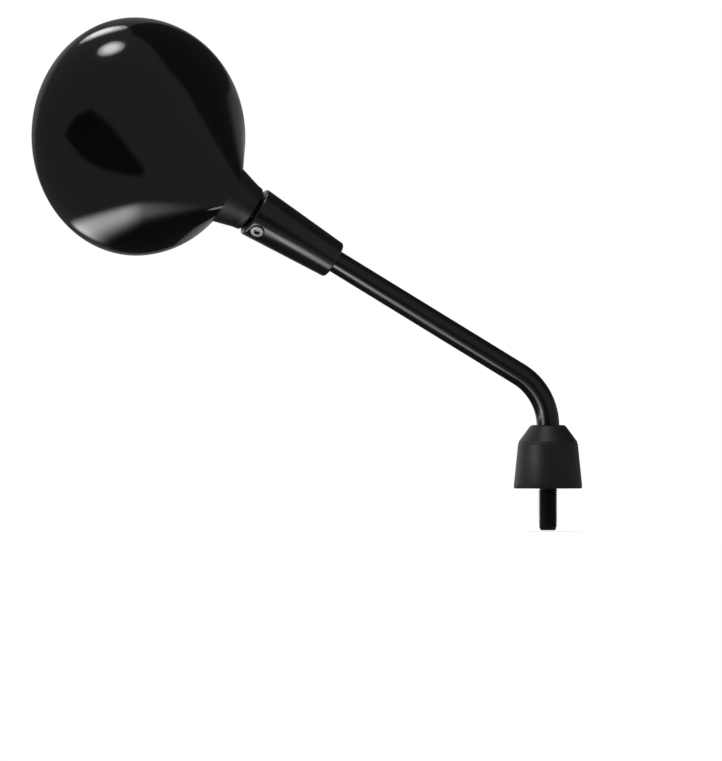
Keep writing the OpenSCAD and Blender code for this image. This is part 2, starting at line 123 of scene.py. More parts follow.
# %% Colours and nodes
def colour(text):
    """An sRGB hex value as linear red, green, blue and alpha."""
    parts = [int(text[i:i + 2], 16) / 255 for i in (0, 2, 4)]
    return [*(p / 12.92 if p <= 0.04045 else ((p + 0.055) / 1.055) ** 2.4 for p in parts), 1.0]


def add(tree, kind, settings=(), inputs=()):
    """Adds a node, sets its properties, and sets its inputs or links them to sockets."""
    made = tree.nodes.new(kind)
    for name, value in dict(settings).items():
        setattr(made, name, value)
    for name, value in dict(inputs).items():
        if isinstance(value, bpy.types.NodeSocket):
            tree.links.new(value, made.inputs[name])
        else:
            made.inputs[name].default_value = value
    return made


print("mid grey in linear light:", round(colour("808080")[0], 3))


# %% A new finish
def finish(name, base, roughness, metallic=0.0, **extra):
    """A new material with one shader. Returns it, its shader and its object coordinates."""
    material = bpy.data.materials.new(name)
    material.use_nodes = True
    tree = material.node_tree
    shader = tree.nodes["Principled BSDF"]
    shader.inputs["Base Color"].default_value = colour(base)
    shader.inputs["Roughness"].default_value = roughness
    shader.inputs["Metallic"].default_value = metallic
    for socket, value in extra.items():
        shader.inputs[socket.replace("_", " ")].default_value = value
    material.diffuse_color = colour(base)
    return material, shader, add(tree, "ShaderNodeTexCoord").outputs["Object"]


def per_metre(size_mm):
    """The scale of a texture whose features are this big."""
    return 1000.0 / size_mm


print("a grain of 0.5 mm has scale", per_metre(0.5))


# %% Patterns on a finish
def noise(place, size_mm, detail, **extra):
    """A noise with features of this size."""
    return add(place.id_data, "ShaderNodeTexNoise", inputs={
        "Vector": place, "Scale": per_metre(size_mm), "Detail": detail, **extra}).outputs["Fac"]


def drift(shader, pattern, smooth, rough, low=0.0, high=1.0):
    """Lets the roughness follow a pattern, as it goes from low to high."""
    tree = shader.id_data
    step = add(tree, "ShaderNodeMapRange", inputs={
        "Value": pattern, "From Min": low, "From Max": high, "To Min": smooth, "To Max": rough})
    tree.links.new(step.outputs["Result"], shader.inputs["Roughness"])


def raise_grain(shader, pattern, strength, depth_mm):
    """Lets the surface rise and fall with a pattern."""
    tree = shader.id_data
    bump = add(tree, "ShaderNodeBump", inputs={
        "Height": pattern, "Strength": strength, "Distance": depth_mm * MM})
    tree.links.new(bump.outputs["Normal"], shader.inputs["Normal"])


def tone(shader, pattern, first, second):
    """Lets the colour go between two tones with a pattern."""
    tree = shader.id_data
    tones = add(tree, "ShaderNodeMix", {"data_type": "RGBA"}, {
        "Factor": pattern, "A": colour(first), "B": colour(second)})
    tree.links.new(tones.outputs["Result"], shader.inputs["Base Color"])


print("patterns:", ", ".join(f.__name__ for f in (noise, drift, raise_grain, tone)))

# %% [markdown]
# ## Gloss black ABS, the shell
# The head's shell is injection-moulded ABS with a clear gloss coat over black. It mirrors the
# room: the colour is almost nothing, and the reflections are the look. A sprayed coat is never
# quite flat, so a very shallow bump of a few millimetres gives its orange peel, and the roughness
# drifts a little where the shell has been wiped.

# %% Shell finish
shell_gloss, shader, place = finish("gloss_coated_abs", "060609", 0.09, IOR=1.5)
drift(shader, noise(place, 28, 3.0), 0.07, 0.11, low=0.35, high=0.7)
raise_grain(shader, noise(place, 3.2, 1.0), 1.0, 0.0035)
print("made", shell_gloss.name)

# %% [markdown]
# ## Glass-filled nylon, the ball housing
# The collar between shell and sleeve is moulded nylon. Its mould was spark eroded, which leaves an
# even fine grain of about half a millimetre, so the piece is satin beside the gloss shell.

# %% Housing finish
housing_nylon, shader, place = finish(
    "spark_grained_nylon", "0C0C0F", 0.4, IOR=1.53, Specular_IOR_Level=0.35)
pits = add(shader.id_data, "ShaderNodeTexVoronoi", {"feature": "SMOOTH_F1"}, {
    "Vector": place, "Scale": per_metre(0.55), "Smoothness": 0.7})
raise_grain(shader, pits.outputs["Distance"], 0.35, 0.05)
drift(shader, noise(place, 9, 4.0), 0.34, 0.48)
print("made", housing_nylon.name)

# %% [markdown]
# ## Powder-coated zinc, the sleeve
# The sleeve is die-cast and powder coated in a warm satin black. Powder flows out as it bakes and
# leaves soft waves of one to two millimetres, which break the edge of its long highlight.

# %% Sleeve finish
sleeve_paint, shader, place = finish("powder_coated_zinc", "0F0D0C", 0.2, IOR=1.5)
raise_grain(shader, noise(place, 1.5, 2.0), 0.6, 0.025)
tone(shader, noise(place, 14, 5.0), "0B0A09", "13110F")
print("made", sleeve_paint.name)

# %% [markdown]
# ## Dip-painted steel, the stem
# The stem is cold-drawn steel bar, bent and then dip painted. The thin paint keeps a trace of the
# drawing: fine lines along the bar would turn with the bend, so only their unevenness is drawn, as
# a shallow noise, and the roughness drifts where hands hold the stem.

# %% Stem finish
stem_paint, shader, place = finish("dip_painted_steel", "0B0B0D", 0.2, IOR=1.5)
raise_grain(shader, noise(place, 1.1, 3.0), 0.5, 0.006)
drift(shader, noise(place, 22, 4.0), 0.16, 0.26, low=0.3, high=0.7)
print("made", stem_paint.name)

# %% [markdown]
# ## EPDM rubber, the boot and the seal
# Both are rubber: the boot is moulded, the seal extruded. Rubber scatters light at its fine grain,
# and in time a grey bloom comes to the surface in soft patches, so it is never an even black.

# %% Rubber finishes
boot_rubber, shader, place = finish(
    "moulded_epdm_boot", "0D0D0F", 0.47, IOR=1.52, Specular_IOR_Level=0.42)
tone(shader, noise(place, 11, 6.0, Roughness=0.6), "0A0A0C", "111114")
raise_grain(shader, noise(place, 0.5, 3.0), 0.6, 0.08)

seal_rubber, shader, place = finish("extruded_epdm_seal", "161617", 0.55, IOR=1.52)
raise_grain(shader, noise(place, 0.7, 3.0), 0.4, 0.05)
print("made", boot_rubber.name, "and", seal_rubber.name)

# %% [markdown]
# ## Silvered glass
# The mirror is convex glass with a metal coat behind it. Cycles would have to trace the glass and
# the coat; one metallic shader with a clear coat over it gives the same picture. Glass is flat to
# a fraction of a micron, so it has no bump, only a faint film of dust that dulls it in patches.

# %% Mirror finish
mirror_glass, shader, place = finish(
    "silvered_glass", "DCE3E6", 0.015, metallic=1.0, Coat_Weight=1.0, Coat_Roughness=0.01)
drift(shader, noise(place, 35, 7.0, Roughness=0.65), 0.01, 0.05, low=0.5, high=0.8)
print("made", mirror_glass.name)

# %% [markdown]
# ## Bare and plated metals
# The screw is stainless steel with the rings of its lathe tool on the head, so its pattern is a
# wave in rings about the screw's own axis. Nuts and washers are zinc plated, which is bluish, soft
# and a little blotchy. The ball is ground, and the disc springs are dark from their heat treatment.

# %% Metal finishes
stainless, shader, place = finish("turned_stainless", "696A6E", 0.42, metallic=1.0)
axis = SCREW.inverted()
centred = add(shader.id_data, "ShaderNodeMapping", inputs={
    "Vector": place, "Location": axis.translation, "Rotation": axis.to_euler()})
waves_per_unit = 20  # the wave texture's own factor
rings = add(shader.id_data, "ShaderNodeTexWave", {"wave_type": "RINGS", "rings_direction": "Z"}, {
    "Vector": centred.outputs["Vector"], "Scale": per_metre(0.35) / waves_per_unit,
    "Distortion": 0.6})
raise_grain(shader, rings.outputs["Fac"], 0.5, 0.012)

zinc_steel, shader, place = finish("zinc_plated_steel", "B3B7BC", 0.32, metallic=1.0)
blotch = noise(place, 4, 5.0)
tone(shader, blotch, "9EA3AA", "C4C7CA")
drift(shader, blotch, 0.22, 0.42)

ground_steel, shader, place = finish("ground_steel", "A9ABAF", 0.2, metallic=1.0)
drift(shader, noise(place, 0.6, 2.0), 0.14, 0.28)

spring_steel, shader, place = finish("tempered_spring_steel", "4C4A4B", 0.38, metallic=1.0)
tone(shader, noise(place, 3, 4.0), "3A393D", "5B5653")
print("made", stainless.name, zinc_steel.name, ground_steel.name, spring_steel.name)

# %% [markdown]
# ## Plastics and foam behind the glass
# These are hidden until the mirror is taken apart: the acetal seats of the ball, which are smooth
# and slightly waxy, the moulded ABS carrier, and the foam tape with its closed cells.

# %% Inner finishes
seat_acetal, shader, place = finish(
    "turned_acetal", "E4E1D6", 0.36, IOR=1.48, Subsurface_Weight=0.1)
drift(shader, noise(place, 2, 2.0), 0.3, 0.42)

carrier_abs, shader, place = finish("moulded_abs_carrier", "2A2A2C", 0.5, IOR=1.52)
raise_grain(shader, noise(place, 0.8, 2.0), 0.4, 0.05)

foam_tape, shader, place = finish("closed_cell_foam", "3D3D40", 0.9)
cells = add(shader.id_data, "ShaderNodeTexVoronoi", inputs={
    "Vector": place, "Scale": per_metre(0.5)})
raise_grain(shader, cells.outputs["Distance"], 0.8, 0.12)
print("made", seat_acetal.name, carrier_abs.name, foam_tape.name)

# %% [markdown]
# ## Tools for the mesh
# Most of this mirror was turned or spun about an axis, in the lathe or in its mould. So the usual
# way here is an outline of half the section, with its corners rounded, which the spin operator
# turns once round. Rounded corners matter: a real edge is never sharp, and it catches the light.

# %% Rounded outlines
def rounded(corners, steps=5):
    """An outline in millimetres from corners (radius, height, rounding)."""
    outline = []
    for i, (r, z, rounding) in enumerate(corners):
        here = Vector((r, z))
        before = (Vector(corners[i - 1][:2]) - here).normalized()
        after = (Vector(corners[(i + 1) % len(corners)][:2]) - here).normalized()
        if not rounding:
            outline.append(here)
            continue
        half = before.angle(after) / 2
        centre = here + (before + after).normalized() * rounding / math.sin(half)
        start = here + before * rounding / math.tan(half) - centre
        end = here + after * rounding / math.tan(half) - centre
        outline += [centre + rounding * start.slerp(end, s / steps).normalized()
                    for s in range(steps + 1)]
    return outline


square = rounded([(0, 0, 0), (10, 0, 1), (10, 10, 1), (0, 10, 0)])
print("a square with two rounded corners has", len(square), "points")


# %% Spinning an outline
def spun(outline, segments=128, closed=True):
    """A bmesh of the outline turned once round Z."""
    bm = bmesh.new()
    verts = [bm.verts.new((r * MM, 0, z * MM)) for r, z in outline]
    ends = verts[1:] + verts[:1] if closed else verts[1:]
    edges = [bm.edges.new(pair) for pair in zip(verts, ends)]
    bmesh.ops.spin(bm, geom=verts + edges, cent=(0, 0, 0), axis=(0, 0, 1), dvec=(0, 0, 0),
                   angle=2 * math.pi, steps=segments, use_merge=True)
    bmesh.ops.remove_doubles(bm, verts=bm.verts, dist=1e-7)
    bmesh.ops.dissolve_degenerate(bm, edges=bm.edges, dist=1e-8)
    bmesh.ops.recalc_face_normals(bm, faces=bm.faces)
    return bm


sample = spun(square, closed=False)
print("spun, it has", len(sample.faces), "faces")
sample.free()


# %% From bmesh to piece
def to_object(bm, name, matrix=Matrix.Identity(4)):
    """The finished bmesh as an object at the origin, with its place in its mesh."""
    bmesh.ops.transform(bm, matrix=matrix, verts=bm.verts)
    mesh = bpy.data.meshes.new(name)
    bm.to_mesh(mesh)
    bm.free()
    made = bpy.data.objects.new(name, mesh)
    bpy.context.scene.collection.objects.link(made)
    return made


def piece(made, body, material, slot, *nodes, sharp=32):
    """Gives an object its finish and its body, and hides the CAD nodes that it stands for."""
    made.data.materials.clear()
    made.data.materials.append(material)
    made.data.shade_smooth()
    made.data.set_sharp_from_angle(angle=math.radians(sharp))
    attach(made, body)
    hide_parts(*nodes)
    print(f"{made.name}: {len(made.data.polygons)} faces on {body},",
          "stands for", ", ".join(nodes) or "nothing")


def carve(made, cutter):
    """Cuts one object with another, and keeps the result as a plain mesh."""
    change = made.modifiers.new("carve", "BOOLEAN")
    change.operation, change.solver, change.object = "DIFFERENCE", "EXACT", cutter
    worked = made.evaluated_get(bpy.context.evaluated_depsgraph_get())
    mesh, old = bpy.data.meshes.new_from_object(worked), made.data
    made.modifiers.clear()
    made.data = mesh
    bpy.data.meshes.remove(old)
    bpy.data.objects.remove(cutter)


# %% [markdown]
# ## The shell
# The shell is a round dome whose side is drawn out to a neck, like a drop. It could be sculpted or
# lofted, but its real surface is the one a sheet would take if it were stretched over the dome and
# the neck's ring: that is exactly a convex hull. So the dome is spun, a ring is made at the neck,
# and the hull operator wraps the two. The rim then turns in to the bay where the glass sits.

# %% The wrapped dome
def wrapped_dome(start, radius, depth, neck_r, neck_from, neck_to, segments=192, steps=56):
    """A hull over a spun quarter ellipse and the neck's ring, open at the rim, in HEAD's frame."""
    first = math.asin(start[-1][1] / depth)
    angles = [first + (math.pi / 2 - first) * i / steps for i in range(1, steps + 1)]
    outline = [*start, *((radius * math.cos(a), depth * math.sin(a)) for a in angles)]
    bm = spun(outline, segments, closed=False)
    bmesh.ops.delete(bm, geom=bm.edges, context="EDGES_FACES")
    for distance in (neck_from, neck_to):
        bmesh.ops.create_circle(bm, segments=segments, radius=neck_r * MM,
                                matrix=HEAD.inverted() @ along_arm(distance))
    bmesh.ops.convex_hull(bm, input=bm.verts)
    bmesh.ops.delete(bm, geom=[v for v in bm.verts if not v.link_faces], context="VERTS")
    rim_z = start[0][1] * MM
    base = [f for f in bm.faces if all(abs(v.co.z - rim_z) < 1e-7 for v in f.verts)]
    bmesh.ops.delete(bm, geom=base, context="FACES")
    return bm


def close(bm):
    """Fills the open edges of a bmesh."""
    bmesh.ops.holes_fill(bm, edges=[e for e in bm.edges if e.is_boundary], sides=0)
    bmesh.ops.recalc_face_normals(bm, faces=bm.faces)


rim_round, neck_ring = 0.9, 1.5
rim = [(HEAD_R - rim_round * (1 - math.sin(t)), rim_round * (1 - math.cos(t)))
       for t in (math.radians(15 * i) for i in range(7))]
bm = wrapped_dome(rim, HEAD_R, SHELL_DEPTH, NECK_R, NECK_AT - neck_ring, NECK_AT)
print("outside of the shell:", len(bm.faces), "faces")

# %% The rim and the bay for the glass
bay_r, ledge_r = HEAD_R - WALL, HEAD_R - 2 * WALL
edges = [e for e in bm.edges if e.is_boundary]
radius = HEAD_R - rim_round
edge_round = 0.5
for target, height in ((bay_r + edge_round, 0.0), (bay_r + 0.15, 0.15), (bay_r, edge_round),
                       (bay_r, LEDGE_Z), (ledge_r, LEDGE_Z)):
    new = bmesh.ops.extrude_edge_only(bm, edges=edges)["geom"]
    ring = [g for g in new if isinstance(g, bmesh.types.BMVert)]
    edges = [g for g in new if isinstance(g, bmesh.types.BMEdge) and g.is_boundary]
    bmesh.ops.scale(bm, vec=(target / radius, target / radius, 1), verts=ring)
    bmesh.ops.translate(bm, vec=(0, 0, height * MM - ring[0].co.z), verts=ring)
    radius = target
close(bm)
shell = to_object(bm, "shell", HEAD)
print("shell closed:", len(shell.data.polygons), "faces")

# %% The hollow, the neck's boss and its socket
boss_r, boss_in, boss_out = 19.3, -30, 4
socket_r, socket_out, spigot_in = 16.8, -40, 9
turn_z = SHELL_DEPTH - WALL
wall_top = turn_z * math.sqrt(1 - (ledge_r / bay_r) ** 2)
bm = wrapped_dome([(ledge_r, LEDGE_Z - 1.0), (ledge_r, wall_top)], bay_r, turn_z, NECK_R - WALL,
                  NECK_AT - neck_ring, NECK_AT + 1.0, segments=96, steps=24)
close(bm)
hollow = to_object(bm, "hollow", HEAD)
boss = spun([(0, boss_in), (boss_r, boss_in), (boss_r, boss_out), (0, boss_out)], 96, closed=False)
carve(hollow, to_object(boss, "boss", along_arm(NECK_AT)))
carve(shell, hollow)
socket = spun(rounded([
    (0, socket_out, 0), (socket_r, socket_out, 0), (socket_r, 0, 0.4), (SPIGOT_R, 0, 0),
    (SPIGOT_R, spigot_in, 0), (0, spigot_in, 0)]), closed=False)
carve(shell, to_object(socket, "socket", along_arm(NECK_AT)))
piece(shell, "head", shell_gloss, "shell_gloss", "rear_shell")

# %% [markdown]
# ## The ball housing
# A turned cone with a full bead at its small end. The bead catches the light as a thin ring, which
# is what separates the housing from the sleeve behind it. Inside are the cup for the ball's seats
# and the mouth that gives the shank room to swing. Heights count from the ball's middle.

# %% Housing
cup, mouth, spigot_end = 9.6, 4.44, 18.5
collar_r = 16.4
outline = rounded([
    (mouth + NOSE * math.tan(SWING), -NOSE, 0.4), (NOSE_R, -NOSE, 1.7), (12.75, -5.6, 0.3),
    (collar_r, 7.2, 0.25), (collar_r, HOUSING_BACK, 0), (SPIGOT_R, HOUSING_BACK, 0),
    (SPIGOT_R, spigot_end, 0.4), (cup, spigot_end, 0.2), (cup, 0, 0), (8.3, -4.8, 0),
    (mouth + 6.6 * math.tan(SWING), -7.2, 0.2)])
piece(to_object(spun(outline), "ball_housing_turned", along_arm(BALL_AT)),
      "head", housing_nylon, "housing_nylon", "ball_housing")

# %% [markdown]
# ## The sleeve and its screw
# The sleeve is a cast cone. Its end is dished round the ball, so that the housing swings past it.
# The set screw sits low on the front in a counterbore, which is cut with a boolean, because a hole
# from the side isn't round the cone's own axis.

# %% Sleeve
dish = math.hypot(NOSE_R, NOSE) + 0.6
shank_bore, rod_bore, dish_r = SHANK_R + PLAY, STEM_R + PLAY, 12.0
inner, outer = math.asin(shank_bore / dish), math.asin(dish_r / dish)
angles = [inner + (outer - inner) * i / 10 for i in range(10, -1, -1)]
dished = [(dish * math.sin(a), BALL_Z - dish * math.cos(a)) for a in angles]
outline = rounded([
    (rod_bore, 0, 0.3), (10.0, 0, 1.5), (13.55, SLEEVE_LEN, 1.5), (dish_r, SLEEVE_LEN, 0)])
outline += [(r, z) for r, z in dished if z < SLEEVE_LEN - 0.05]
outline += [(shank_bore, 25.0), (rod_bore, ROD_IN), (rod_bore, 1.0)]
sleeve = to_object(spun(outline), "sleeve_cast", along_arm(SLEEVE_AT))
print("the dish is a sphere of radius", round(dish, 2), "mm about the ball")

# %% Counterbore
screw_r, seat = 2.0, 13.15 - 1.3
counterbore = spun(rounded([
    (0, 0, 0), (screw_r + PLAY, 0, 0), (screw_r + PLAY, seat, 0), (3.9, seat, 0.3),
    (3.9, 20, 0), (0, 20, 0)]), 64, closed=False)
carve(sleeve, to_object(counterbore, "counterbore", SCREW))
piece(sleeve, "stem", sleeve_paint, "sleeve_paint", "stem_sleeve")

# %% Screw
tip, top, head_r, key_r = 3.2, seat + 2.0, 3.6, 1.73
outline = rounded([
    (0, tip, 0), (screw_r, tip, 0.3), (screw_r, seat, 0), (head_r, seat, 0.1),
    (head_r, top, 0.55), (0, top + 0.05, 0)])
screw = to_object(spun(outline, 96, closed=False), "sleeve_screw_turned", SCREW)
key = bmesh.new()
bmesh.ops.create_cone(key, cap_ends=True, segments=6, radius1=key_r * MM, radius2=key_r * MM,
                      depth=4 * MM, matrix=SCREW @ Matrix.Translation((0, 0, (top + 0.5) * MM)))
carve(screw, to_object(key, "key"))
piece(screw, "stem", stainless, "stainless", "sleeve_screw", sharp=40)

# %% [markdown]
# ## The stem
# One bar, turned at its foot, bent, and straight again up to the sleeve. The foot is spun; its top
# ring is spun again about the bend's axis, and then extruded along the arm, so the whole bar is
# one skin without seams. The thread is a ridge spun round and along the foot at once, a screw.

# %% Stem
bend_leg = BEND_R * math.tan(ARM_TILT / 2)
foot_top = CORNER_Z - bend_leg
root_r, pitch_r, relief_z, shoulder_z = 4.3, 4.59, -0.6, 10.6
outline = rounded([
    (0, -22, 0), (3.7, -22, 0.2), (root_r, -21.3, 0), (root_r, relief_z, 0), (pitch_r, relief_z, 0),
    (pitch_r, shoulder_z, 0), (5.4, shoulder_z, 0), (STEM_R, shoulder_z + 0.6, 0.2),
    (STEM_R, foot_top, 0)])
bm = spun(outline, 72, closed=False)
ring = [e for e in bm.edges if e.is_boundary]
sweep = Matrix.Rotation(-ARM_SWEEP, 4, "Z")
bmesh.ops.transform(bm, matrix=sweep, verts=bm.verts)
bent = bmesh.ops.spin(bm, geom=ring + list({v for e in ring for v in e.verts}),
                      cent=sweep @ Vector((-BEND_R * MM, 0, foot_top * MM)),
                      axis=sweep @ Vector((0, -1, 0)), dvec=(0, 0, 0), angle=ARM_TILT, steps=40)
print("bent foot:", len(bm.faces), "faces")

# %% The sloping part
ring = [g for g in bent["geom_last"] if isinstance(g, bmesh.types.BMEdge)]
straight = bmesh.ops.extrude_edge_only(bm, edges=ring)["geom"]
slope = ARM.to_3x3() @ Vector((0, 0, (SLEEVE_AT + ROD_IN - bend_leg) * MM))
bmesh.ops.translate(bm, vec=slope, verts=[g for g in straight if isinstance(g, bmesh.types.BMVert)])
close(bm)
piece(to_object(bm, "stem_bar"), "stem", stem_paint, "stem_paint", "stem_rod")

# %% Thread
pitch, turns, per_turn = 1.25, 16, 60
ridge = (4.2, -21.4), (4.95, -20.92), (5.0, -20.8), (4.95, -20.68), (4.2, -20.2)
bm = bmesh.new()
section = bm.faces.new([bm.verts.new((r * MM, 0, z * MM)) for r, z in ridge])
bmesh.ops.spin(bm, geom=[section], cent=(0, 0, 0), axis=(0, 0, 1),
               dvec=(0, 0, pitch * MM / per_turn), angle=2 * math.pi * turns,
               steps=turns * per_turn)
bmesh.ops.recalc_face_normals(bm, faces=bm.faces)
piece(to_object(bm, "stem_thread"), "stem", stem_paint, "stem_paint")

# %% [markdown]
# ## The boot
# A moulded rubber bell over the lock nut. Its flank leans in towards a fine step, and above that
# the shoulder slopes in to a collar that grips the stem. Rubber has no sharp edges, so each corner
# is rounded. The boot is hollow, because the nut has to fit under it.

# %% Boot
foot_in, lip_top, stem_gap = 11.3, 1.6, 6.3
outline = rounded([
    (foot_in, 0, 0.4), (18.0, 0, 0.5), (17.95, 2.0, 0.8), (15.8, 23.2, 0.8), (15.4, 24.1, 0.15),
    (15.45, 24.6, 0.5), (9.0, 33.4, 2.5), (stem_gap, 33.4, 0.35), (stem_gap, 28.4, 0.5),
    (12.0, 22.7, 1.5), (15.0, 2.6, 0.4), (15.0, lip_top, 0.2), (foot_in, lip_top, 0.3)])
piece(to_object(spun(outline), "boot_moulded"), "base", boot_rubber, "boot_rubber", "rubber_boot")

# %% [markdown]
# ## The glass and its seal
# The glass bows out on a radius of 1.2 m, so the mirror shows more road. Its edge is ground to a
# small chamfer. The seal is a rubber channel that laps over the edge of the glass.

# %% Glass
glass_r, glass_bow, glass_t, glass_set, chamfer = 58.0, 1200.0, 2.5, 1.5, 0.35


def bow(r):
    """How far the glass's face falls back at this radius."""
    return glass_bow - math.sqrt(glass_bow ** 2 - r * r)


glass_z = glass_set - bow(glass_r)
stations = [(glass_r - chamfer) * i / 24 for i in range(25)]
outline = [(r, glass_z + bow(r)) for r in stations]
outline += [(glass_r, glass_set + chamfer), (glass_r, glass_set + glass_t - 0.3)]
outline += [(r, glass_z + glass_t + bow(r)) for r in reversed(stations)]
piece(to_object(spun(outline, 192, closed=False), "glass_bowed", HEAD),
      "head", mirror_glass, "mirror_glass", "mirror_glass")

# %% Seal
lap, seal_in, seal_out, seal_back = glass_r - 1.2, glass_r + 0.02, bay_r - 0.05, 4.0
lip = glass_z + bow(lap) - 0.02
outline = rounded([
    (lap, lip, 0), (lap, lip - 0.5, 0.2), (lap + 0.9, lip - 0.9, 0.4), (seal_out, lip - 0.9, 0.4),
    (seal_out, seal_back, 0), (seal_in, seal_back, 0), (seal_in, lip, 0)])
piece(to_object(spun(outline, 192), "seal_channel", HEAD),
      "head", seal_rubber, "seal_rubber", "glass_seal")

# %% [markdown]
# ## The pieces that stay as the CAD has them
# Nuts, washers, seats, springs, the ball and the plates behind the glass are simple machined or
# moulded shapes. Their solids are right as they are, so they only get their finish.

# %% Finishes for the CAD nodes
finishes = {
    zinc_steel: ("neck_washer", "ring_nut", "carrier_screws", "lock_nut", "seat_washer"),
    ground_steel: ("pressure_plate", "spring_plug", "ball_stud"),
    spring_steel: ("disc_springs",),
    seat_acetal: ("upper_ball_seat", "lower_ball_seat"),
    carrier_abs: ("glass_carrier",),
    foam_tape: ("glass_pad",),
}
for material, names in finishes.items():
    for name in names:
        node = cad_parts[name]
        node.data.materials.clear()
        node.data.materials.append(material)
print("finished", sum(len(names) for names in finishes.values()), "CAD nodes")

# %% [markdown]
# ## Camera
# The photograph looks at the mirror's back from the front and the outside of the scooter, level,
# with no visible perspective. So the camera stands 30 degrees round towards outboard, nine metres
# away, with a long lens whose frame is 400 mm tall at the object.

# %% Camera
azimuth, distance, frame_height, sensor = math.radians(-30), 9.0, 0.4005, 36
back = Vector((math.sin(azimuth), -math.cos(azimuth), 0))
right = Vector((math.cos(azimuth), math.sin(azimuth), 0))
aim = right * -0.0984 + Vector((0, 0, 0.0568))
camera = bpy.data.objects.new("camera", bpy.data.cameras.new("camera"))
bpy.context.scene.collection.objects.link(camera)
camera.data.sensor_width = sensor
camera.data.lens = sensor * distance / frame_height
camera.location = aim + back * distance
camera.rotation_euler = back.to_track_quat("Z", "Y").to_euler()
camera.data.clip_end = 50
bpy.context.scene.camera = camera
print("camera at", [round(c, 3) for c in camera.location], "lens", round(camera.data.lens, 1))

# %% [markdown]
# ## The studio that a black mirror shows
# A gloss black piece has almost no colour of its own: what it shows is the room. Here the room is
# plain and pale. Two dark shapes with soft edges stand in it: the camera with its stand and the
# person who takes the picture, whose outline shows in the middle of the dome, and a dark side to
# the right, which shows as the long dark field on the shell. The direction that the glass faces is
# kept white. Directions are worked out from the camera's own frame: right, back and up. They are
# fixed when the script runs, so nothing slides when another view is taken.

# %% Directions in the room
def towards(turn, height):
    """A direction: degrees to the camera's right, seen from the object, and degrees above level."""
    turn, height = math.radians(turn), math.radians(height)
    flat = back * math.cos(turn) + right * math.sin(turn)
    return flat * math.cos(height) + Vector((0, 0, math.sin(height)))


print("above the camera's right:", [round(c, 3) for c in towards(90, 45)])


# %% Sums of values
def combine(tree, operation, first, second):
    """Adds, multiplies or compares two values."""
    return add(tree, "ShaderNodeMath", {"operation": operation}, {0: first, 1: second}).outputs[0]


def measure(tree, operation, first, second, output="Value"):
    """A sum with two vectors, such as how far the one reaches along the other."""
    return add(tree, "ShaderNodeVectorMath", {"operation": operation},
               {0: first, 1: second}).outputs[output]


def smooth_step(tree, value, low, high, start=0.0, end=1.0):
    """A soft change from start to end as the value goes from low to high."""
    return add(tree, "ShaderNodeMapRange", {"interpolation_type": "SMOOTHSTEP"}, {
        "Value": value, "From Min": low, "From Max": high,
        "To Min": start, "To Max": end}).outputs["Result"]


print("sums:", ", ".join(f.__name__ for f in (combine, measure, smooth_step)))

# %% World
world = bpy.data.worlds.new("studio")
bpy.context.scene.world = world
world.use_nodes = True
tree = world.node_tree
look = add(tree, "ShaderNodeTexCoord").outputs["Generated"]


def inside(corners):
    """A value that is above zero for rays that go inside these corners, given as directions."""
    middle, least = sum(corners, Vector()), 1.0
    for first, second in zip(corners, corners[1:] + corners[:1]):
        inward = first.cross(second).normalized()
        inward *= math.copysign(1.0, inward.dot(middle))
        least = combine(tree, "MINIMUM", least, measure(tree, "DOT_PRODUCT", look, inward))
    return least


far_side = inside([towards(*corner) for corner in (
    (79, 16), (71, 38), (74, 50), (85, 63), (117, 75), (170, 63), (166, 11), (122, 15))])
stand = inside([towards(*corner) for corner in (
    (-4, 21), (13, 10), (42, -19), (41, -25), (7, -24), (-11, -18), (-36, 1), (-22, 16))])
print("world nodes:", len(tree.nodes))

# %% How strong the world is
# Gloss pieces see the room at a quarter of white, much darker inside the two shapes, and as bright
# as the camera does where the glass faces. Matt pieces get even daylight.
ROOM, DARK, DAYLIGHT = 0.25, 0.04, 0.95
room = combine(tree, "MULTIPLY", smooth_step(tree, far_side, -0.03, 0.04, ROOM, DARK),
               smooth_step(tree, stand, -0.03, 0.05, 1.0, DARK))
backdrop = smooth_step(tree, measure(tree, "DOT_PRODUCT", look, towards(225, 10)), 0.7, 0.97)
rays = add(tree, "ShaderNodeLightPath").outputs
plain = combine(tree, "MAXIMUM", rays["Is Camera Ray"], rays["Is Transmission Ray"])
mirrored = combine(tree, "MULTIPLY", combine(tree, "MAXIMUM", room, backdrop),
                   rays["Is Glossy Ray"])
lighting = combine(tree, "MULTIPLY", rays["Is Diffuse Ray"], DAYLIGHT)
strength = combine(tree, "MAXIMUM", combine(tree, "MAXIMUM", plain, mirrored), lighting)
ground = tree.nodes["Background"]
ground.inputs["Color"].default_value = (1, 1, 1, 1)
tree.links.new(strength, ground.inputs["Strength"])
print("world nodes:", len(tree.nodes))

# %% [markdown]
# ## Floor
# The floor is plain and pale, and touches the foot's end. Near the object it is lit, so that it
# takes a soft shadow; further off it turns to the white of the backdrop, and no horizon shows. To
# gloss rays only, the floor is painted: a painted shade under the head, and round that a painted
# glow, an arc up to seven times white that no lamp lights. The arc gives the painted reflection of
# the bright band along the shell's lower side. Further off the gloss pieces look through the floor
# to the room.

# %% Floor
home = Vector((-0.2, 0.08, 0))
bm = bmesh.new()
bmesh.ops.create_grid(bm, x_segments=1, y_segments=1, size=6)
floor = to_object(bm, "floor", Matrix.Translation((0, 0, cad_low.z - 0.0005)))
floor_paint, shader, place = finish("white_floor_with_painted_glow", "EDEDED", 0.9)
tree = shader.id_data
from_home = measure(tree, "DISTANCE", place, home)
rays = add(tree, "ShaderNodeLightPath").outputs
shader.inputs["Emission Color"].default_value = (1, 1, 1, 1)
tree.links.new(combine(tree, "MULTIPLY", rays["Is Camera Ray"], 0.2),
               shader.inputs["Emission Strength"])
white = add(tree, "ShaderNodeEmission")
far = add(tree, "ShaderNodeMixShader", inputs={
    "Fac": smooth_step(tree, from_home, 0.35, 0.9),
    1: shader.outputs["BSDF"], 2: white.outputs["Emission"]})
floor.data.materials.append(floor_paint)
floor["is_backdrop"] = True
print("floor at", round(1000 * floor.data.vertices[0].co.z, 1), "mm")
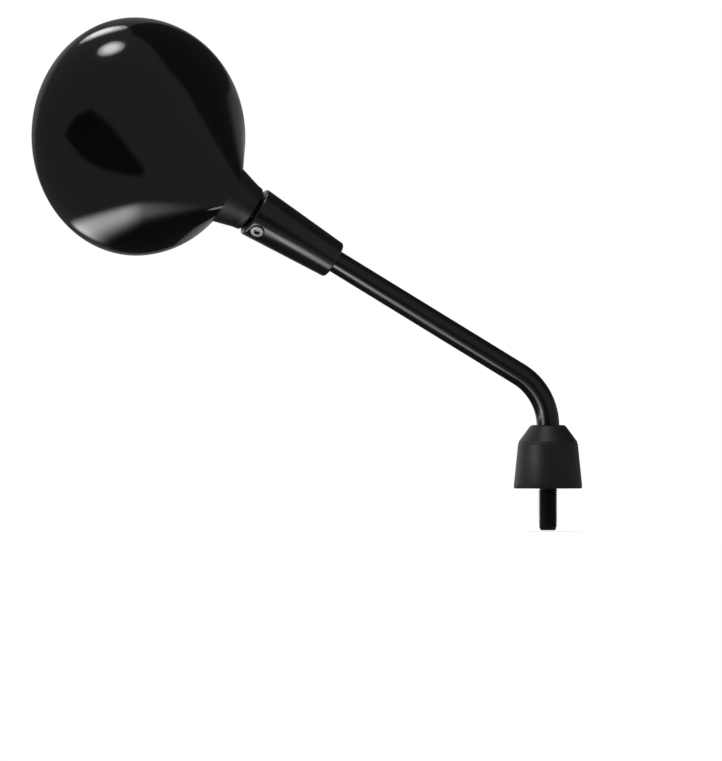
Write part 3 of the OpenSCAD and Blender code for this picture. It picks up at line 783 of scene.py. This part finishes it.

# %% What gloss pieces see of the floor: a painted glow and painted shade
ring = home + right * 0.117 - back * 0.095
radius = measure(tree, "DISTANCE", place, ring)
offset = measure(tree, "SUBTRACT", place, ring, "Vector")
# Painted glow: an arc on the floor that shows gloss rays up to seven times white. It stands in for
# a brightly lit patch and gives the shell's lower band as a painted reflection.
painted_glow_rise = combine(tree, "POWER", smooth_step(tree, radius, 0.15, 0.225), 1.5)
painted_glow_arc = combine(tree, "MULTIPLY", painted_glow_rise, smooth_step(tree, radius, 0.232, 0.272, 7.0, 0.0))
for direction, low, high in ((towards(-75, 0), 0.02, 0.13), (back, -0.01, 0.05)):
    reach = measure(tree, "DOT_PRODUCT", offset, direction)
    painted_glow_arc = combine(tree, "MULTIPLY", painted_glow_arc, smooth_step(tree, reach, low, high))
# Painted shade: inside the arc the floor shows gloss rays only 0.03, a painted shadow under the
# head. Outside the arc it shows the room.
painted_floor_reflection = combine(tree, "ADD", painted_glow_arc, smooth_step(tree, radius, 0.14, 0.21, 0.03, ROOM))
painted_floor_reflection = add(tree, "ShaderNodeEmission", inputs={"Strength": painted_floor_reflection})
clear = add(tree, "ShaderNodeBsdfTransparent")
mirrored = add(tree, "ShaderNodeMixShader", inputs={
    "Fac": smooth_step(tree, from_home, 0.26, 0.34),
    1: painted_floor_reflection.outputs["Emission"], 2: clear.outputs["BSDF"]})
shown = add(tree, "ShaderNodeMixShader", inputs={
    "Fac": rays["Is Glossy Ray"], 1: far.outputs["Shader"], 2: mirrored.outputs["Shader"]})
tree.links.new(shown.outputs["Shader"], tree.nodes["Material Output"].inputs["Surface"])
print("floor nodes:", len(tree.nodes))

# %% [markdown]
# ## Lamps
# Soft lamps hang over the head in two places: one whose shape runs along the rim, and a smaller one
# whose spot shows below it. Each is three ellipses over each other, so that it fades towards its
# edge. One narrow lamp lies under the arm and gives the thin stripe along the sleeve and the stem.
# A lamp's power comes from how bright it looks, because that is what a gloss surface repeats.

# %% A soft lamp
def lamp(name, place, long, away, size, brightness):
    """A lamp at a place, with its length along one direction. It shines against the other one."""
    data = bpy.data.lights.new(name, "AREA")
    data.shape, data.size, data.size_y = "ELLIPSE", *size
    data.energy = math.pi * brightness * size[0] * size[1]
    made = bpy.data.objects.new(name, data)
    bpy.context.scene.collection.objects.link(made)
    z = away.normalized()
    x = (long - long.dot(z) * z).normalized()
    made.matrix_world = Matrix.LocRotScale(place, Matrix((x, z.cross(x), z)).transposed(), None)
    made.visible_camera = False


print("an ellipse of 0.6 by 0.4 m that looks 2.4 times white takes",
      round(math.pi * 2.4 * 0.6 * 0.4, 2), "W")

# %% Lamps
for part in (1.0, 0.75, 0.5):
    hung = home + UP * (1.2 + 0.01 * part)
    lamp("over_rim", hung - right * 0.21 - back * 0.46, right + 0.2 * back, UP,
         (0.6 * part, 0.4 * part), 2.4)
    lamp("over_spot", hung + right * 0.03 + back * 0.26, right, UP,
         (0.38 * part, 0.36 * part), 3.4)
arm = ARM.to_3x3() @ UP
below = towards(-6, -54)
lamp("under_arm", along_arm(96).translation + 0.06 * below, arm, below - below.dot(arm) * arm,
     (0.15, 0.026), 2.7)
bpy.context.scene.view_settings.view_transform = "Standard"

# %% Sizes
low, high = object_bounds()
print("visual box in mm:", [round(1000 * (b - a), 1) for a, b in zip(low, high)])
